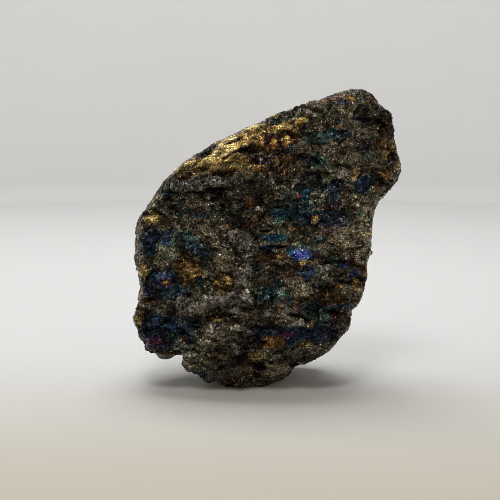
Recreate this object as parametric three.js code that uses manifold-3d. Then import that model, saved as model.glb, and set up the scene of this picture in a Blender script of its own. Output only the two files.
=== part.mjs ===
// A hand specimen of peacock ore: one rough, unpolished lump of tarnished copper-iron sulphide
// with grey quartz grown through it. It stands on a small flat spot under a blunt foot.
// Millimetres, +Z up, the broad flat face towards -Y. The origin is on the ground, under the
// middle of the stone.
import * as THREE from "three";
import { ImprovedNoise } from "three/addons/math/ImprovedNoise.js";
import { mergeVertices } from "three/addons/utils/BufferGeometryUtils.js";
import Module from "manifold-3d";

const wasm = await Module();
wasm.setup();

// Driving sizes. The outline is the stone's widest section, seen from the front as [x, z].
const outline = [
  [18.6, 73.2], [22.2, 73.6], [24.8, 72.6], [27, 70], [30.6, 68.8], [32.4, 66.2], [32.6, 61.6],
  [33, 57], [32.2, 54], [29.6, 50.4], [26.6, 47.6], [25.8, 43], [25, 36.5], [23.4, 30],
  [21, 23], [19.2, 18], [17.4, 14.6], [14.8, 11.4], [12, 9.4], [7.5, 7.8], [2.6, 6],
  [-0.6, 3], [-4.6, 1], [-8.6, 1.8], [-13.2, 5], [-17.2, 8], [-20.8, 10.8], [-22.6, 9.6],
  [-25.2, 9.4], [-28.8, 11.8], [-31.4, 14.8], [-32.6, 17.6], [-31.2, 22], [-30.2, 27.5],
  [-31.8, 33.4], [-31.6, 40.6], [-28.6, 45.6], [-24.9, 51.4], [-19.4, 56.4], [-12.4, 60.2],
  [-6, 63.8], [0.2, 67], [6.2, 69], [10.9, 70],
];
const middle = new THREE.Vector3(-1, 0, 36); // every ray that finds the surface starts here
const widestAt = -6; // y of the widest section
// The outline is drawn in towards front and back, by a share of the distance and, behind, of its
// square as well. Low down, where the foot is, it is drawn in less.
const drawIn = { before: 0.06, behind: 0.16, behindSquared: 0.012, keptLow: 0.5, lowUpTo: 26 };
const rounding = 0.7; // how far a worn arris is rounded off
const fullness = 0.45; // makes up for what the rounding and the flat triangles take off
const mostRelief = 2.4; // no bump or pit of the relief is higher or deeper
const rimRelief = 0.35; // share of the relief that is left on the rim of the widest section
const sink = 0.8; // the foot reaches this far below the ground before it is cut flat
const ball = { detail: 19, squash: [33, 21, 37], evenings: 12 };

// Each broken face is a plane through a point, and nothing of the stone lies outside it.
const brokenFaces = planes([
  { name: "front", through: [0, -17.8, 36], faces: [0.02, -1, 0.1] },
  { name: "front right", through: [13, -17.2, 36], faces: [0.3, -1, 0.06] },
  { name: "front left", through: [-17, -17, 30], faces: [-0.24, -1, 0.04] },
  { name: "front low", through: [0, -17.6, 19], faces: [0.02, -1, -0.3] },
  { name: "gold bevel", through: [-10, -10, 61], faces: [-0.42, -0.62, 0.66] },
  { name: "left edge", through: [-31.5, -9, 32], faces: [-0.95, -0.3, 0.05] },
  { name: "head edge", through: [30.5, -9, 62], faces: [0.7, -0.68, 0.2] },
  { name: "under front", through: [-6, -12.5, 7.5], faces: [0.05, -0.72, -0.69] },
  { name: "under right", through: [14, -13.5, 9], faces: [0.34, -0.66, -0.67] },
  { name: "back", through: [-4, 20, 30], faces: [0.06, 0.99, 0.16] },
  { name: "back top right", through: [20, 5, 60], faces: [0.42, 0.8, 0.42] },
  { name: "back top left", through: [-17, 10, 50], faces: [-0.5, 0.6, 0.6] },
  { name: "back left", through: [-27, 9, 28], faces: [-0.72, 0.68, -0.1] },
  { name: "back right", through: [17, 9, 34], faces: [0.72, 0.69, 0.05] },
  { name: "back low right", through: [12, 14, 12], faces: [0.38, 0.72, -0.58] },
  { name: "back low left", through: [-19, 12, 10], faces: [-0.48, 0.6, -0.64] },
]);

// The blunt foot grows out of the lump. It is wider behind, where it carries most of the weight.
const footFaces = planes([
  { name: "foot front", through: [-5, -4.5, 0], faces: [0, -0.8, -0.6] },
  { name: "foot right", through: [2.5, 2, 0], faces: [0.8, -0.4, -0.45] },
  { name: "foot left", through: [-10.5, 2, 0], faces: [-0.66, -0.34, -0.67] },
  { name: "foot back", through: [-4, 13, 0], faces: [0.1, 0.74, -0.66] },
  { name: "inside the lump", through: [-9, 9, 5], faces: [-0.4, 0.45, 0.8] },
]);
const foot = { rounding: 6, blend: 8 };

// Swells stand out of the broken faces by their height, and hollows go in where it is negative.
const swells = [
  { name: "quartz ledge", at: [-15.5, -15, 51], reach: [9, 6, 2.4], height: 1.7 },
  { name: "gold roll", at: [-6, -13, 57.5], reach: [12, 6, 3], height: 1.1 },
  { name: "gold trough", at: [-2, -13, 62], reach: [11, 6, 1.8], height: -1 },
  { name: "low left lobe", at: [-25, -16, 16], reach: [6, 5, 5], height: 1.4 },
  { name: "quartz swell", at: [-13, -17, 20], reach: [9, 6, 5], height: 1.5 },
  { name: "foot ridge", at: [-6.5, -16, 9.5], reach: [4, 6, 2], height: 1.8 },
  { name: "head swell", at: [20, -15, 58], reach: [9, 6, 8], height: 1.6 },
  { name: "back swell", at: [-9, 20, 30], reach: [12, 8, 12], height: 2.4 },
  { name: "foot hollow", at: [-3.4, -12, 6], reach: [3.4, 6, 4.4], height: -2.6 },
  { name: "step", at: [-20, -15, 5], reach: [4, 8, 4], height: -1.8 },
  { name: "waist", at: [2, -18, 35], reach: [15, 6, 5], height: -1.4 },
  { name: "right scoop", at: [26, -15, 44], reach: [6, 7, 5], height: -1.6 },
  { name: "back scoop", at: [10, 19, 44], reach: [9, 8, 11], height: -2 },
  { name: "left pit", at: [-20, -17, 26.5], reach: [2.6, 5, 2], height: -1.8 },
  { name: "right pit", at: [20.5, -15, 21], reach: [2.4, 5, 1.8], height: -1.8 },
];

// Waves of the broken surface: how long they are and how high they stand.
const broadWaves = { long: 15, high: 1.4 };
const creases = { long: 9, high: 1.2 };
const bits = { long: 3.4, high: 0.5 };
const chipWarp = { long: 6, by: 1.5 };

// Overhangs: each is a run of rock on the front with a thin crevice under it. Where its middle is
// across and up, how long, high and deep the crevice is, how it tilts, and how far the rock
// above it stands out.
const overhangs = [
  { across: -9.5, up: 49.4, size: [11, 1.3, 3.4], tilt: -8, out: 1.5 },
  { across: -20.5, up: 47.8, size: [8, 1.2, 3.2], tilt: 3, out: 1.4 },
  { across: -1, up: 33.6, size: [8, 1, 2.6], tilt: 9, out: 0.9 },
  { across: 10, up: 27.4, size: [8, 1.1, 2.8], tilt: -6, out: 1 },
  { across: -19, up: 22.4, size: [6, 1.1, 2.6], tilt: 14, out: 1 },
  { across: 10, up: 16.4, size: [10, 1.2, 3.2], tilt: -14, out: 1.2 },
  { across: 17, up: 45.4, size: [8, 1.1, 2.8], tilt: 10, out: 1 },
];
const creviceDip = 0.45; // radians that each crevice runs down as it goes in
const creviceWaves = { long: 3.5, high: 0.9 };
const lipFade = 3; // the standing out dies away over this height above the lip

// Two sizes of chips: how long, thick and high the cells lie, and how much their faces stand out.
const chipKinds = [
  { cell: [14, 11, 8], depth: 1.7 },
  { cell: [6.5, 6, 4.4], depth: 1 },
];

function planes(faces) {
  return faces.map((face) => ({
    faces: new THREE.Vector3(...face.faces).normalize(),
    through: new THREE.Vector3(...face.through),
  }));
}

const noise = new ImprovedNoise();
const noiseAt = (p, size, shift = 0) =>
  noise.noise(p.x / size + shift, p.y / size - shift, p.z / size + 2 * shift);

// The larger of two distances, with the arris between them rounded off.
function roundedMax(a, b, radius) {
  const blend = Math.max(radius - Math.abs(a - b), 0) / radius;
  return Math.max(a, b) + (blend * blend * radius) / 4;
}
const roundedMin = (a, b, radius) => -roundedMax(-a, -b, radius);

// Distance from (x, z) to the outline, negative inside it.
function distanceToOutline(x, z) {
  let nearest = Infinity;
  let inside = false;
  outline.forEach(([ax, az], i) => {
    const [bx, bz] = outline[(i + 1) % outline.length];
    const along = ((x - ax) * (bx - ax) + (z - az) * (bz - az)) / ((bx - ax) ** 2 + (bz - az) ** 2);
    const t = Math.min(Math.max(along, 0), 1);
    nearest = Math.min(nearest, Math.hypot(x - ax - t * (bx - ax), z - az - t * (bz - az)));
    if (az > z !== bz > z && x < ax + ((z - az) / (bz - az)) * (bx - ax)) inside = !inside;
  });
  return inside ? -nearest : nearest;
}

// How many of its own reaches a point is from the middle of an ellipsoid.
const reachesFrom = (p, { at, reach }) =>
  Math.hypot((p.x - at[0]) / reach[0], (p.y - at[1]) / reach[1], (p.z - at[2]) / reach[2]);

// Distance to the solid that a set of planes leaves between them.
function distanceToPlanes(p, planes, worn, start = -100) {
  let d = start;
  for (const { faces, through } of planes)
    d = roundedMax(d, faces.dot(p) - faces.dot(through), worn);
  return d;
}

// The broken lump without its grain: the outline drawn in towards front and back, cut by the
// broken faces, with the foot grown under it.
function distanceToLump(p) {
  const behind = Math.max(p.y - widestAt, 0);
  const before = Math.max(widestAt - p.y, 0);
  const low = 1 - THREE.MathUtils.smoothstep(p.z, 0, drawIn.lowUpTo);
  const drawnInBehind = drawIn.behind * behind + drawIn.behindSquared * behind ** 2;
  const drawnIn = drawnInBehind * (1 - (1 - drawIn.keptLow) * low) + drawIn.before * before;
  const section = distanceToOutline(p.x, p.z) + drawnIn;
  const lump = distanceToPlanes(p, brokenFaces, rounding, section);
  return roundedMin(lump, distanceToPlanes(p, footFaces, foot.rounding), foot.blend);
}

// Chips: the rock breaks in flat-lying cells, each with a face of its own tilt.
const chipCells = new Map();
function chipCell(i, j, k) {
  const key = `${i},${j},${k}`;
  if (!chipCells.has(key)) {
    const next = THREE.MathUtils.seededRandom;
    next((i + 50) * 10007 + (j + 50) * 101 + k + 50);
    const at = new THREE.Vector3(i + next(), j + next(), k + next());
    const tilt = new THREE.Vector3(next() - 0.5, next() - 0.5, next() - 0.5);
    chipCells.set(key, { at, tilt, lift: next() - 0.5 });
  }
  return chipCells.get(key);
}
function chips(p, { cell: [long, thick, high], depth }) {
  const q = new THREE.Vector3(p.x / long, p.y / thick, p.z / high);
  const home = q.clone().floor();
  const found = [];
  for (let i = -1; i <= 1; i++)
    for (let j = -1; j <= 1; j++)
      for (let k = -1; k <= 1; k++) {
        const cell = chipCell(home.x + i, home.y + j, home.z + k);
        found.push({ away: cell.at.distanceTo(q), cell });
      }
  const [first, second] = found.sort((a, b) => a.away - b.away);
  const heightOf = ({ cell }) => cell.lift + 1.6 * cell.tilt.dot(q.clone().sub(cell.at));
  const own = 0.5 + 0.5 * THREE.MathUtils.smoothstep(second.away - first.away, 0, 0.22);
  return depth * THREE.MathUtils.lerp(heightOf(second), heightOf(first), own);
}

// The rock over each crevice stands out, most at the lip, and dies away upwards and to the ends.
function overhang(p, { across, up, size: [long], tilt, out }) {
  const angle = THREE.MathUtils.degToRad(tilt);
  const [dx, dz] = [p.x - across, p.z - up];
  const along = (dx * Math.cos(angle) + dz * Math.sin(angle)) / (0.7 * long);
  const above = dz * Math.cos(angle) - dx * Math.sin(angle);
  if (above < 0 || p.y > widestAt) return 0;
  return out * Math.exp(-above / lipFade) * Math.max(1 - along * along, 0);
}

// Relief of the broken rock over the lump: swells, sharp-crested waves, chips and small bits.
function relief(p) {
  const warped = p.clone().addScalar(chipWarp.by * noiseAt(p, chipWarp.long, 11));
  let height = broadWaves.high * noiseAt(p, broadWaves.long);
  height += creases.high * (0.25 - Math.abs(noiseAt(p, creases.long, 3)));
  height += bits.high * noiseAt(p, bits.long, 7);
  for (const kind of chipKinds) height += chips(warped, kind);
  for (const swell of swells) height += swell.height * Math.exp(-(reachesFrom(p, swell) ** 2));
  for (const one of overhangs) height += overhang(p, one);
  const offRim = THREE.MathUtils.smoothstep(Math.abs(p.y - widestAt), 1, 10);
  return mostRelief * Math.tanh(height / mostRelief) * THREE.MathUtils.lerp(rimRelief, 1, offRim);
}

// The way that the lump's surface faces at a point on it.
function facing(p, step = 0.3) {
  const slope = (axis) => {
    const ahead = distanceToLump(p.clone().addScaledVector(axis, step));
    return ahead - distanceToLump(p.clone().addScaledVector(axis, -step));
  };
  const axes = [new THREE.Vector3(1, 0, 0), new THREE.Vector3(0, 1, 0), new THREE.Vector3(0, 0, 1)];
  return new THREE.Vector3(...axes.map(slope)).normalize();
}

// Where a ray from the middle comes out of the lump. It is walked inwards from far out.
function surfaceAlong(direction, from = 60) {
  const at = (r) => direction.clone().multiplyScalar(r).add(middle);
  let r = from;
  for (let step = 0; step < 80 && r > 3; step++) {
    const d = distanceToLump(at(r));
    if (d < 0.02) break;
    r -= Math.max(0.55 * d, 0.04);
  }
  return at(r);
}

// A ball of even triangles is laid on the lump, evened out along it, and then given the relief.
function roughStone() {
  const geometry = new THREE.IcosahedronGeometry(1, ball.detail);
  geometry.deleteAttribute("normal");
  geometry.deleteAttribute("uv");
  const mesh = mergeVertices(geometry, 1e-4);
  const corners = mesh.getAttribute("position");
  const squash = new THREE.Vector3(...ball.squash);
  const rays = [];
  for (let i = 0; i < corners.count; i++)
    rays.push(new THREE.Vector3().fromBufferAttribute(corners, i).multiply(squash).normalize());
  const neighbours = rays.map(() => new Set());
  for (let i = 0; i < mesh.index.count; i += 3) {
    const [a, b, c] = [0, 1, 2].map((k) => mesh.index.getX(i + k));
    neighbours[a].add(b).add(c);
    neighbours[b].add(a).add(c);
    neighbours[c].add(a).add(b);
  }
  let laid = rays.map((ray) => surfaceAlong(ray));
  for (let round = 0; round < ball.evenings; round++)
    laid = laid.map((_, i) => {
      const mean = new THREE.Vector3();
      neighbours[i].forEach((j) => mean.add(laid[j]));
      mean.divideScalar(neighbours[i].size).sub(middle);
      return surfaceAlong(mean.clone().normalize(), mean.length() + 2);
    });
  laid.forEach((p, i) => {
    const q = p.clone().addScaledVector(facing(p), relief(p) + fullness);
    corners.setXYZ(i, q.x, q.y, q.z);
  });
  return mesh;
}

// A closed mesh as a solid for cutting and joining, and back.
function solidOf(geometry) {
  const bare = geometry.clone();
  bare.deleteAttribute("normal");
  bare.deleteAttribute("uv");
  const merged = mergeVertices(bare, 1e-4);
  return new wasm.Manifold(
    new wasm.Mesh({
      numProp: 3,
      vertProperties: merged.getAttribute("position").array,
      triVerts: new Uint32Array(merged.index.array),
    }),
  );
}

function geometryOf(solid) {
  const { vertProperties, triVerts } = solid.getMesh();
  const geometry = new THREE.BufferGeometry();
  geometry.setAttribute("position", new THREE.BufferAttribute(vertProperties, 3));
  geometry.setIndex(new THREE.BufferAttribute(triVerts, 1));
  geometry.computeVertexNormals();
  return geometry;
}

// How far forward the front of the stone stands, across and up.
function frontAt(across, up) {
  const p = new THREE.Vector3(across, -40, up);
  for (let d = 1; d > 0.02; p.y += d) d = distanceToLump(p);
  return p.y - relief(p) - fullness;
}

// A crevice is a thin wavy lens on its edge, pushed into the front.
function creviceCut({ across, up, size: [long, high, deep], tilt }) {
  const lens = new THREE.OctahedronGeometry(1, 3);
  lens.scale(long / 2, deep, high / 2);
  lens.rotateX(-creviceDip);
  lens.rotateY(-THREE.MathUtils.degToRad(tilt));
  lens.translate(across, frontAt(across, up), up);
  const corners = lens.getAttribute("position");
  const corner = new THREE.Vector3();
  for (let i = 0; i < corners.count; i++) {
    corner.fromBufferAttribute(corners, i);
    corners.setZ(i, corner.z + creviceWaves.high * noiseAt(corner, creviceWaves.long, 5));
  }
  return solidOf(lens);
}

// The ground takes off everything below it, which leaves the flat spot.
function groundCut() {
  const ground = new THREE.BoxGeometry(120, 120, 20);
  ground.translate(0, 0, -10);
  return solidOf(ground);
}

function makeStone() {
  let stone = solidOf(roughStone().translate(0, 0, -sink));
  for (const one of overhangs) stone = stone.subtract(creviceCut(one));
  stone = stone.subtract(groundCut());
  const geometry = geometryOf(stone);
  geometry.computeBoundingBox();
  const { min, max } = geometry.boundingBox;
  geometry.translate(-(min.x + max.x) / 2, -(min.y + max.y) / 2, 0);
  const sulphide = new THREE.MeshStandardMaterial({ color: 0x3a352c, roughness: 0.42, metalness: 0.7 });
  const mesh = new THREE.Mesh(geometry, sulphide);
  mesh.name = "ore_stone";
  return mesh;
}

const specimen = new THREE.Group();
specimen.add(makeStone());
export default specimen;
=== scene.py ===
import math

import bmesh
import bpy
import numpy as np
from mathutils import Matrix, Vector, noise
from mathutils.bvhtree import BVHTree


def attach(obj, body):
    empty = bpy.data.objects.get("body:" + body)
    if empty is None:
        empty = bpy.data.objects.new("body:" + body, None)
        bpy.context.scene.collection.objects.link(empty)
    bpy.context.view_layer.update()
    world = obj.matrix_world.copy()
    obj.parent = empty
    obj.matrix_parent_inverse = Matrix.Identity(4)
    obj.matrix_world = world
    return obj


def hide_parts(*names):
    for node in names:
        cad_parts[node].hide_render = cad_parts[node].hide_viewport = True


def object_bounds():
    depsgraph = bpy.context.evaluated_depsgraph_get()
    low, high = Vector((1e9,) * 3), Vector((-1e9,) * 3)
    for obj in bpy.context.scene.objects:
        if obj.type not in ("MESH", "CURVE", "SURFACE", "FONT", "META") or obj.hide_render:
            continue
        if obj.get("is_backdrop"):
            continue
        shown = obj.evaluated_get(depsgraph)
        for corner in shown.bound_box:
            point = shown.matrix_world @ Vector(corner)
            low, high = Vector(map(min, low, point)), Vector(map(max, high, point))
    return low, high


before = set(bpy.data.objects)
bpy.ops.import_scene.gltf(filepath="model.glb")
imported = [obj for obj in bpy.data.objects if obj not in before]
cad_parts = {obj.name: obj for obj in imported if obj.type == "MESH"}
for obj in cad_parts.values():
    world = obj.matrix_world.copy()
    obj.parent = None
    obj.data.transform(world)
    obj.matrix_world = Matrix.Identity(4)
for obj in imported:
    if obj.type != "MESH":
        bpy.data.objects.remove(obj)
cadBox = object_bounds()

mm = 0.001
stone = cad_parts["ore_stone"]
scene = bpy.context.scene
noise.seed_set(7)  # keeps the noise the same each run


# the camera comes first, because the tarnish is placed by the view through it

viewSet = {
    "aim": (-3.75, -2.4, 33.75),  # mm
    "distance": 300,  # mm
    "elevation": 7,  # degrees above the floor
    "lens": 86.4,  # mm, on Blender's own 36 mm sensor
    "nearest": 10,  # mm
}


def makeCamera():
    tilt = math.radians(viewSet["elevation"])
    away = Vector((0, -math.cos(tilt), math.sin(tilt)))
    data = bpy.data.cameras.new("camera")
    data.lens = viewSet["lens"]
    data.clip_start = viewSet["nearest"] * mm
    camera = bpy.data.objects.new("camera", data)
    camera.location = Vector(viewSet["aim"]) * mm + away * viewSet["distance"] * mm
    camera.rotation_euler = (math.pi / 2 - tilt, 0, 0)
    scene.collection.objects.link(camera)
    scene.camera = camera
    return camera


camera = makeCamera()


# short ways to build node trees


def wire(node, values):
    # feeds inputs, by name or number, from other nodes' outputs or with plain values
    for place, value in values.items():
        if isinstance(value, bpy.types.NodeSocket):
            node.id_data.links.new(value, node.inputs[place])
        else:
            node.inputs[place].default_value = value


def put(tree, kind, wires=None, **settings):
    # one node, settings are its own properties
    node = tree.nodes.new(kind)
    for name, value in settings.items():
        setattr(node, name, value)
    wire(node, wires or {})
    return node


def treeOf(*values):
    # the tree that the outputs among these values belong to
    return next(value.id_data for value in values if isinstance(value, bpy.types.NodeSocket))


def sums(operation, *values, clamp=False):
    settings = {"operation": operation, "use_clamp": clamp}
    return put(treeOf(*values), "ShaderNodeMath", dict(enumerate(values)), **settings).outputs[0]


def plus(first, second, clamp=False):
    return sums("ADD", first, second, clamp=clamp)


def minus(first, second):
    return sums("SUBTRACT", first, second)


def times(first, second):
    return sums("MULTIPLY", first, second)


def line(value, slope, start):
    return sums("MULTIPLY_ADD", value, slope, start)


def weighed(*pairs):
    # the sum of each value times its weight
    total = times(*pairs[0])
    for value, weight in pairs[1:]:
        total = line(value, weight, total)
    return total


def vectors(operation, *values):
    wires = dict(enumerate(values))
    node = put(treeOf(*values), "ShaderNodeVectorMath", wires, operation=operation)
    return node.outputs["Value" if operation == "DOT_PRODUCT" else "Vector"]


def scaled(vector, factor):
    wires = {0: vector, "Scale": factor}
    return put(vector.id_data, "ShaderNodeVectorMath", wires, operation="SCALE").outputs["Vector"]


def parts(vector):
    return put(vector.id_data, "ShaderNodeSeparateXYZ", {0: vector}).outputs


def centred(colour):
    # a random colour as a vector around nought
    return vectors("SUBTRACT", colour, (0.5, 0.5, 0.5))


def ramp(value, low, high, outLow=0.0, outHigh=1.0):
    # smooth step from low to high
    wires = {"Value": value, "From Min": low, "From Max": high, "To Min": outLow, "To Max": outHigh}
    node = put(value.id_data, "ShaderNodeMapRange", wires, interpolation_type="SMOOTHSTEP")
    return node.outputs["Result"]


def cloudsAt(place, scale, detail):
    wires = {"Vector": place, "Scale": scale, "Detail": detail}
    return put(place.id_data, "ShaderNodeTexNoise", wires).outputs


def cellsAt(place, scale):
    # what the cell at the place holds, and how far off its edge is
    wires = {"Vector": place, "Scale": scale}
    cells = put(place.id_data, "ShaderNodeTexVoronoi", wires, feature="F1").outputs
    edges = put(place.id_data, "ShaderNodeTexVoronoi", wires, feature="DISTANCE_TO_EDGE").outputs
    return cells, edges["Distance"]


def blendColours(factor, first, second):
    wires = {0: factor, 6: first, 7: second}
    return put(treeOf(factor, first, second), "ShaderNodeMix", wires, data_type="RGBA").outputs[2]


def newTree(name, kind, inputs, outputs):
    tree = bpy.data.node_groups.new(name, kind)
    for label, socketKind, value in inputs:
        socketType = "NodeSocket" + socketKind
        socket = tree.interface.new_socket(label, in_out="INPUT", socket_type=socketType)
        if value is not None:
            socket.default_value = value
    for label, socketKind in outputs:
        socketType = "NodeSocket" + socketKind
        tree.interface.new_socket(label, in_out="OUTPUT", socket_type=socketType)
    return tree, tree.nodes.new("NodeGroupInput"), tree.nodes.new("NodeGroupOutput")


def setInputs(modifier, values):
    for item in modifier.node_group.interface.items_tree:
        if item.item_type == "SOCKET" and item.in_out == "INPUT" and item.name in values:
            modifier[item.identifier] = values[item.name]


def finished(source, name):
    # the modifiers' result as a plain mesh on a new object at the origin
    ready = source.evaluated_get(bpy.context.evaluated_depsgraph_get())
    mesh = bpy.data.meshes.new_from_object(ready)
    mesh.name = name
    piece = bpy.data.objects.new(name, mesh)
    scene.collection.objects.link(piece)
    bpy.data.objects.remove(source)
    return piece


def readPoint(tree, name):
    wires = {"Name": name}
    return put(tree, "GeometryNodeInputNamedAttribute", wires, data_type="FLOAT").outputs[0]


def keepPoint(tree, geometry, name, value, kind="FLOAT"):
    wires = {"Geometry": geometry, "Name": name, "Value": value}
    node = put(tree, "GeometryNodeStoreNamedAttribute", wires, data_type=kind, domain="POINT")
    return node.outputs[0]


# the crust: the stone's surface with its ledges, chips and grains

crustSet = {
    "voxel": 0.42,  # mm
    "weld": 0.001,  # mm, points nearer than this are joined
    "layer lean": 9,  # degrees down to the right
    "warp": (0.45, 2.0, 1.8),  # the rock wavers: turns per mm, detail, mm it moves
    "sway": (0.07, 1.0, 6.0),
    "ledge clouds": (2.8, 2.5, 0.34, 0.66),  # flatness, detail, where ledges start, are full
    "pit clouds": (1.7, 1.0, 0.6, 0.74),
    "plate flatness": 2.1,  # how much wider than tall
    "chip flatness": 1.7,
    "steepest": 0.3,  # lean of a cell
    "knob reach": 0.55,  # of a quartz cell
    "knob quartz": (0.25, 0.7),  # knobs rise from this much quartz to that
    "crack clouds": (0.28, 1.0),  # turns per mm, detail
    "cracked chips": (0.45, 0.6),  # where in these clouds the cracks open
    "cracked plates": (0.4, 0.5),
    "fine calm": 0.7,  # share of the rim's calm that small chips take
    "foil level": -0.6,  # broad forms are lower under gold foil
    "floor gap": 0.1,  # mm above the floor where the relief starts
    "ledge painted shade": 0.35,  # weight of ledges in the painted shade
    "painted shade depth": (-1.0, -0.25, 0.75, 0.0),  # mm of full painted shade and of none, and their values
    "crack painted shade": 0.85,
    "darkest": 0.2,  # tone of a plate or chip
    "rise": {  # mm, what the relief tree takes
        "Ledge Width": 11.0,
        "Ledge Height": 0.5,
        "Plate Size": 7.0,
        "Plate Tilt": 2.0,
        "Plate Step": 0.8,
        "Chip Size": 2.4,
        "Chip Tilt": 0.85,
        "Chip Step": 0.26,
        "Grain Size": 0.95,
        "Grain Tilt": 0.3,
        "Grain Step": 0.07,
        "Quartz Size": 1.5,
        "Quartz Height": 0.9,
        "Crack Width": 0.3,
        "Crack Depth": 0.35,
        "Pit Size": 2.0,
        "Pit Depth": 0.7,
        "Sink": -0.15,
        "Rim Calm": 0.85,
        "Foil Calm": 0.75,
        "Hollow Depth": 1.2,
        "Plate Tone": 0.5,
        "Chip Tone": 0.9,
        "Ground Fade": 1.6,
    },
}

goldLevels = {  # film of full gold and of none, cover of none and of full gold
    "foil": ((0.05, 0.1), (0.6, 0.85)),
    "grains": ((0.06, 0.14), (0.3, 0.9)),
}


def goldShare(kind, film, vivid):
    films, covers = goldLevels[kind]
    golden = ramp(film, *films, 1.0, 0.0)
    return times(golden, ramp(vivid, *covers))


def cellFacets(place, size, flatness):
    # each cell leans its own way and stands at its own height
    squashed = vectors("MULTIPLY", place, (1, 1, flatness))
    scale = sums("DIVIDE", 1.0, size)
    cells, edge = cellsAt(squashed, scale)
    away = vectors("SUBTRACT", squashed, cells["Position"])
    lean = vectors("DOT_PRODUCT", away, centred(cells["Color"]))
    tilt = sums("MAXIMUM", times(lean, scale), -crustSet["steepest"])
    return {
        "tilt": sums("MINIMUM", tilt, crustSet["steepest"]),
        "step": minus(parts(cells["Color"])[0], 0.5),
        "far": cells["Distance"],
        "rim": times(edge, size),
    }


def layerClouds(place, size, setting, outLow, outHigh):
    # clouds drawn out along the layers of the rock, which lie nearly level
    flatness, detail, low, high = crustSet[setting]
    flat = vectors("MULTIPLY", place, (1, 1, flatness))
    soft = cloudsAt(flat, sums("DIVIDE", 1.0, size), detail)[0]
    return ramp(soft, low, high, outLow, outHigh)


def wavered(place):
    # where the rock would be if its layers were even
    moves = []
    for setting in ("warp", "sway"):
        scale, detail, reach = crustSet[setting]
        shift = centred(cloudsAt(place, scale, detail)["Color"])
        moves.append(scaled(shift, reach))
    bent = vectors("ADD", place, vectors("ADD", *moves))
    turned = {"Vector": bent, "Axis": (0, 1, 0), "Angle": math.radians(-crustSet["layer lean"])}
    node = put(place.id_data, "ShaderNodeVectorRotate", turned, rotation_type="AXIS_ANGLE")
    return node.outputs[0]


def reliefTree():
    inputs = [("Geometry", "Geometry", None)]
    inputs += [(name, "Float", value) for name, value in crustSet["rise"].items()]
    outputs = [("Geometry", "Geometry")]
    tree, start, end = newTree("crustRelief", "GeometryNodeTree", inputs, outputs)
    given = start.outputs
    place = scaled(put(tree, "GeometryNodeInputPosition").outputs[0], 1 / mm)
    rock = wavered(place)
    hollow = readPoint(tree, "shade")
    foil = goldShare("foil", readPoint(tree, "film"), readPoint(tree, "vivid"))

    ledge = layerClouds(rock, given["Ledge Width"], "ledge clouds", -1.0, 1.0)
    pit = layerClouds(rock, given["Pit Size"], "pit clouds", 0.0, -1.0)
    plates = cellFacets(rock, given["Plate Size"], crustSet["plate flatness"])
    chips = cellFacets(rock, given["Chip Size"], crustSet["chip flatness"])
    grains = cellFacets(rock, given["Grain Size"], 1.0)
    knobs = cellFacets(rock, given["Quartz Size"], 1.0)
    knob = minus(crustSet["knob reach"], knobs["far"])
    knob = times(knob, ramp(readPoint(tree, "quartz"), *crustSet["knob quartz"]))

    # some of the chips and most of the plates part in dark cracks
    gaping = cloudsAt(place, *crustSet["crack clouds"])[0]
    cracks = []
    for cells, setting in ((chips, "cracked chips"), (plates, "cracked plates")):
        rim = ramp(cells["rim"], 0.0, given["Crack Width"], 1.0, 0.0)
        cracks.append(times(rim, ramp(gaping, *crustSet[setting])))
    cracked = sums("MAXIMUM", *cracks)
    fine = weighed(
        (cracked, times(given["Crack Depth"], -1.0)),
        (chips["tilt"], given["Chip Tilt"]),
        (chips["step"], given["Chip Step"]),
        (grains["tilt"], given["Grain Tilt"]),
        (grains["step"], given["Grain Step"]),
        (knob, given["Quartz Height"]),
        (pit, given["Pit Depth"]),
    )
    sunk = line(hollow, given["Hollow Depth"], given["Sink"])
    sunk = minus(sunk, readPoint(tree, "lift"))

    # the broad forms are calmer along the outline, the small ones on gold foil
    plate = weighed((plates["tilt"], given["Plate Tilt"]), (plates["step"], given["Plate Step"]))
    broad = plus(plate, times(ledge, given["Ledge Height"]))
    calm = minus(1.0, times(readPoint(tree, "calm"), given["Rim Calm"]))
    smoother = line(foil, times(given["Foil Calm"], -1.0), 1.0)
    rimCalm = line(calm, crustSet["fine calm"], 1 - crustSet["fine calm"])
    smoother = times(smoother, rimCalm)
    level = times(calm, line(foil, crustSet["foil level"], 1.0))
    rise = minus(weighed((broad, level), (fine, smoother)), sunk)
    fade = ramp(parts(place)[2], crustSet["floor gap"], given["Ground Fade"])
    metres = times(times(rise, fade), mm)
    normal = put(tree, "GeometryNodeInputNormal").outputs[0]
    wires = {"Geometry": given["Geometry"], "Offset": scaled(normal, metres)}
    moved = put(tree, "GeometryNodeSetPosition", wires).outputs[0]

    # deep places and cracks get painted shade
    rough = plus(plate, fine)
    depth = weighed((rough, 1.0), (ledge, crustSet["ledge painted shade"]))
    deep = ramp(depth, *crustSet["painted shade depth"])
    paintedShade = sums("MAXIMUM", hollow, deep)
    paintedShade = sums("MAXIMUM", paintedShade, times(cracked, crustSet["crack painted shade"]))
    # every plate and chip has its own tone
    tone = weighed((plates["step"], given["Plate Tone"]), (chips["step"], given["Chip Tone"]))
    tone = sums("MAXIMUM", plus(tone, 1.0), crustSet["darkest"])
    glow = times(readPoint(tree, "glow"), tone)
    toned = keepPoint(tree, keepPoint(tree, moved, "shade", paintedShade), "glow", glow)
    wire(end, {0: toned})
    return tree


def rawCrust():
    # the solid's own surface, its triangles joined and then cut into even small faces
    mesh = stone.data.copy()
    mesh.materials.clear()
    shell = bmesh.new()
    shell.from_mesh(mesh)
    bmesh.ops.remove_doubles(shell, verts=shell.verts, dist=crustSet["weld"] * mm)
    shell.to_mesh(mesh)
    shell.free()
    loose = bpy.data.objects.new("crust_loose", mesh)
    scene.collection.objects.link(loose)
    remesh = loose.modifiers.new("remesh", "REMESH")
    remesh.mode = "VOXEL"
    remesh.voxel_size = crustSet["voxel"] * mm
    return finished(loose, "crust_raw")


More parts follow.
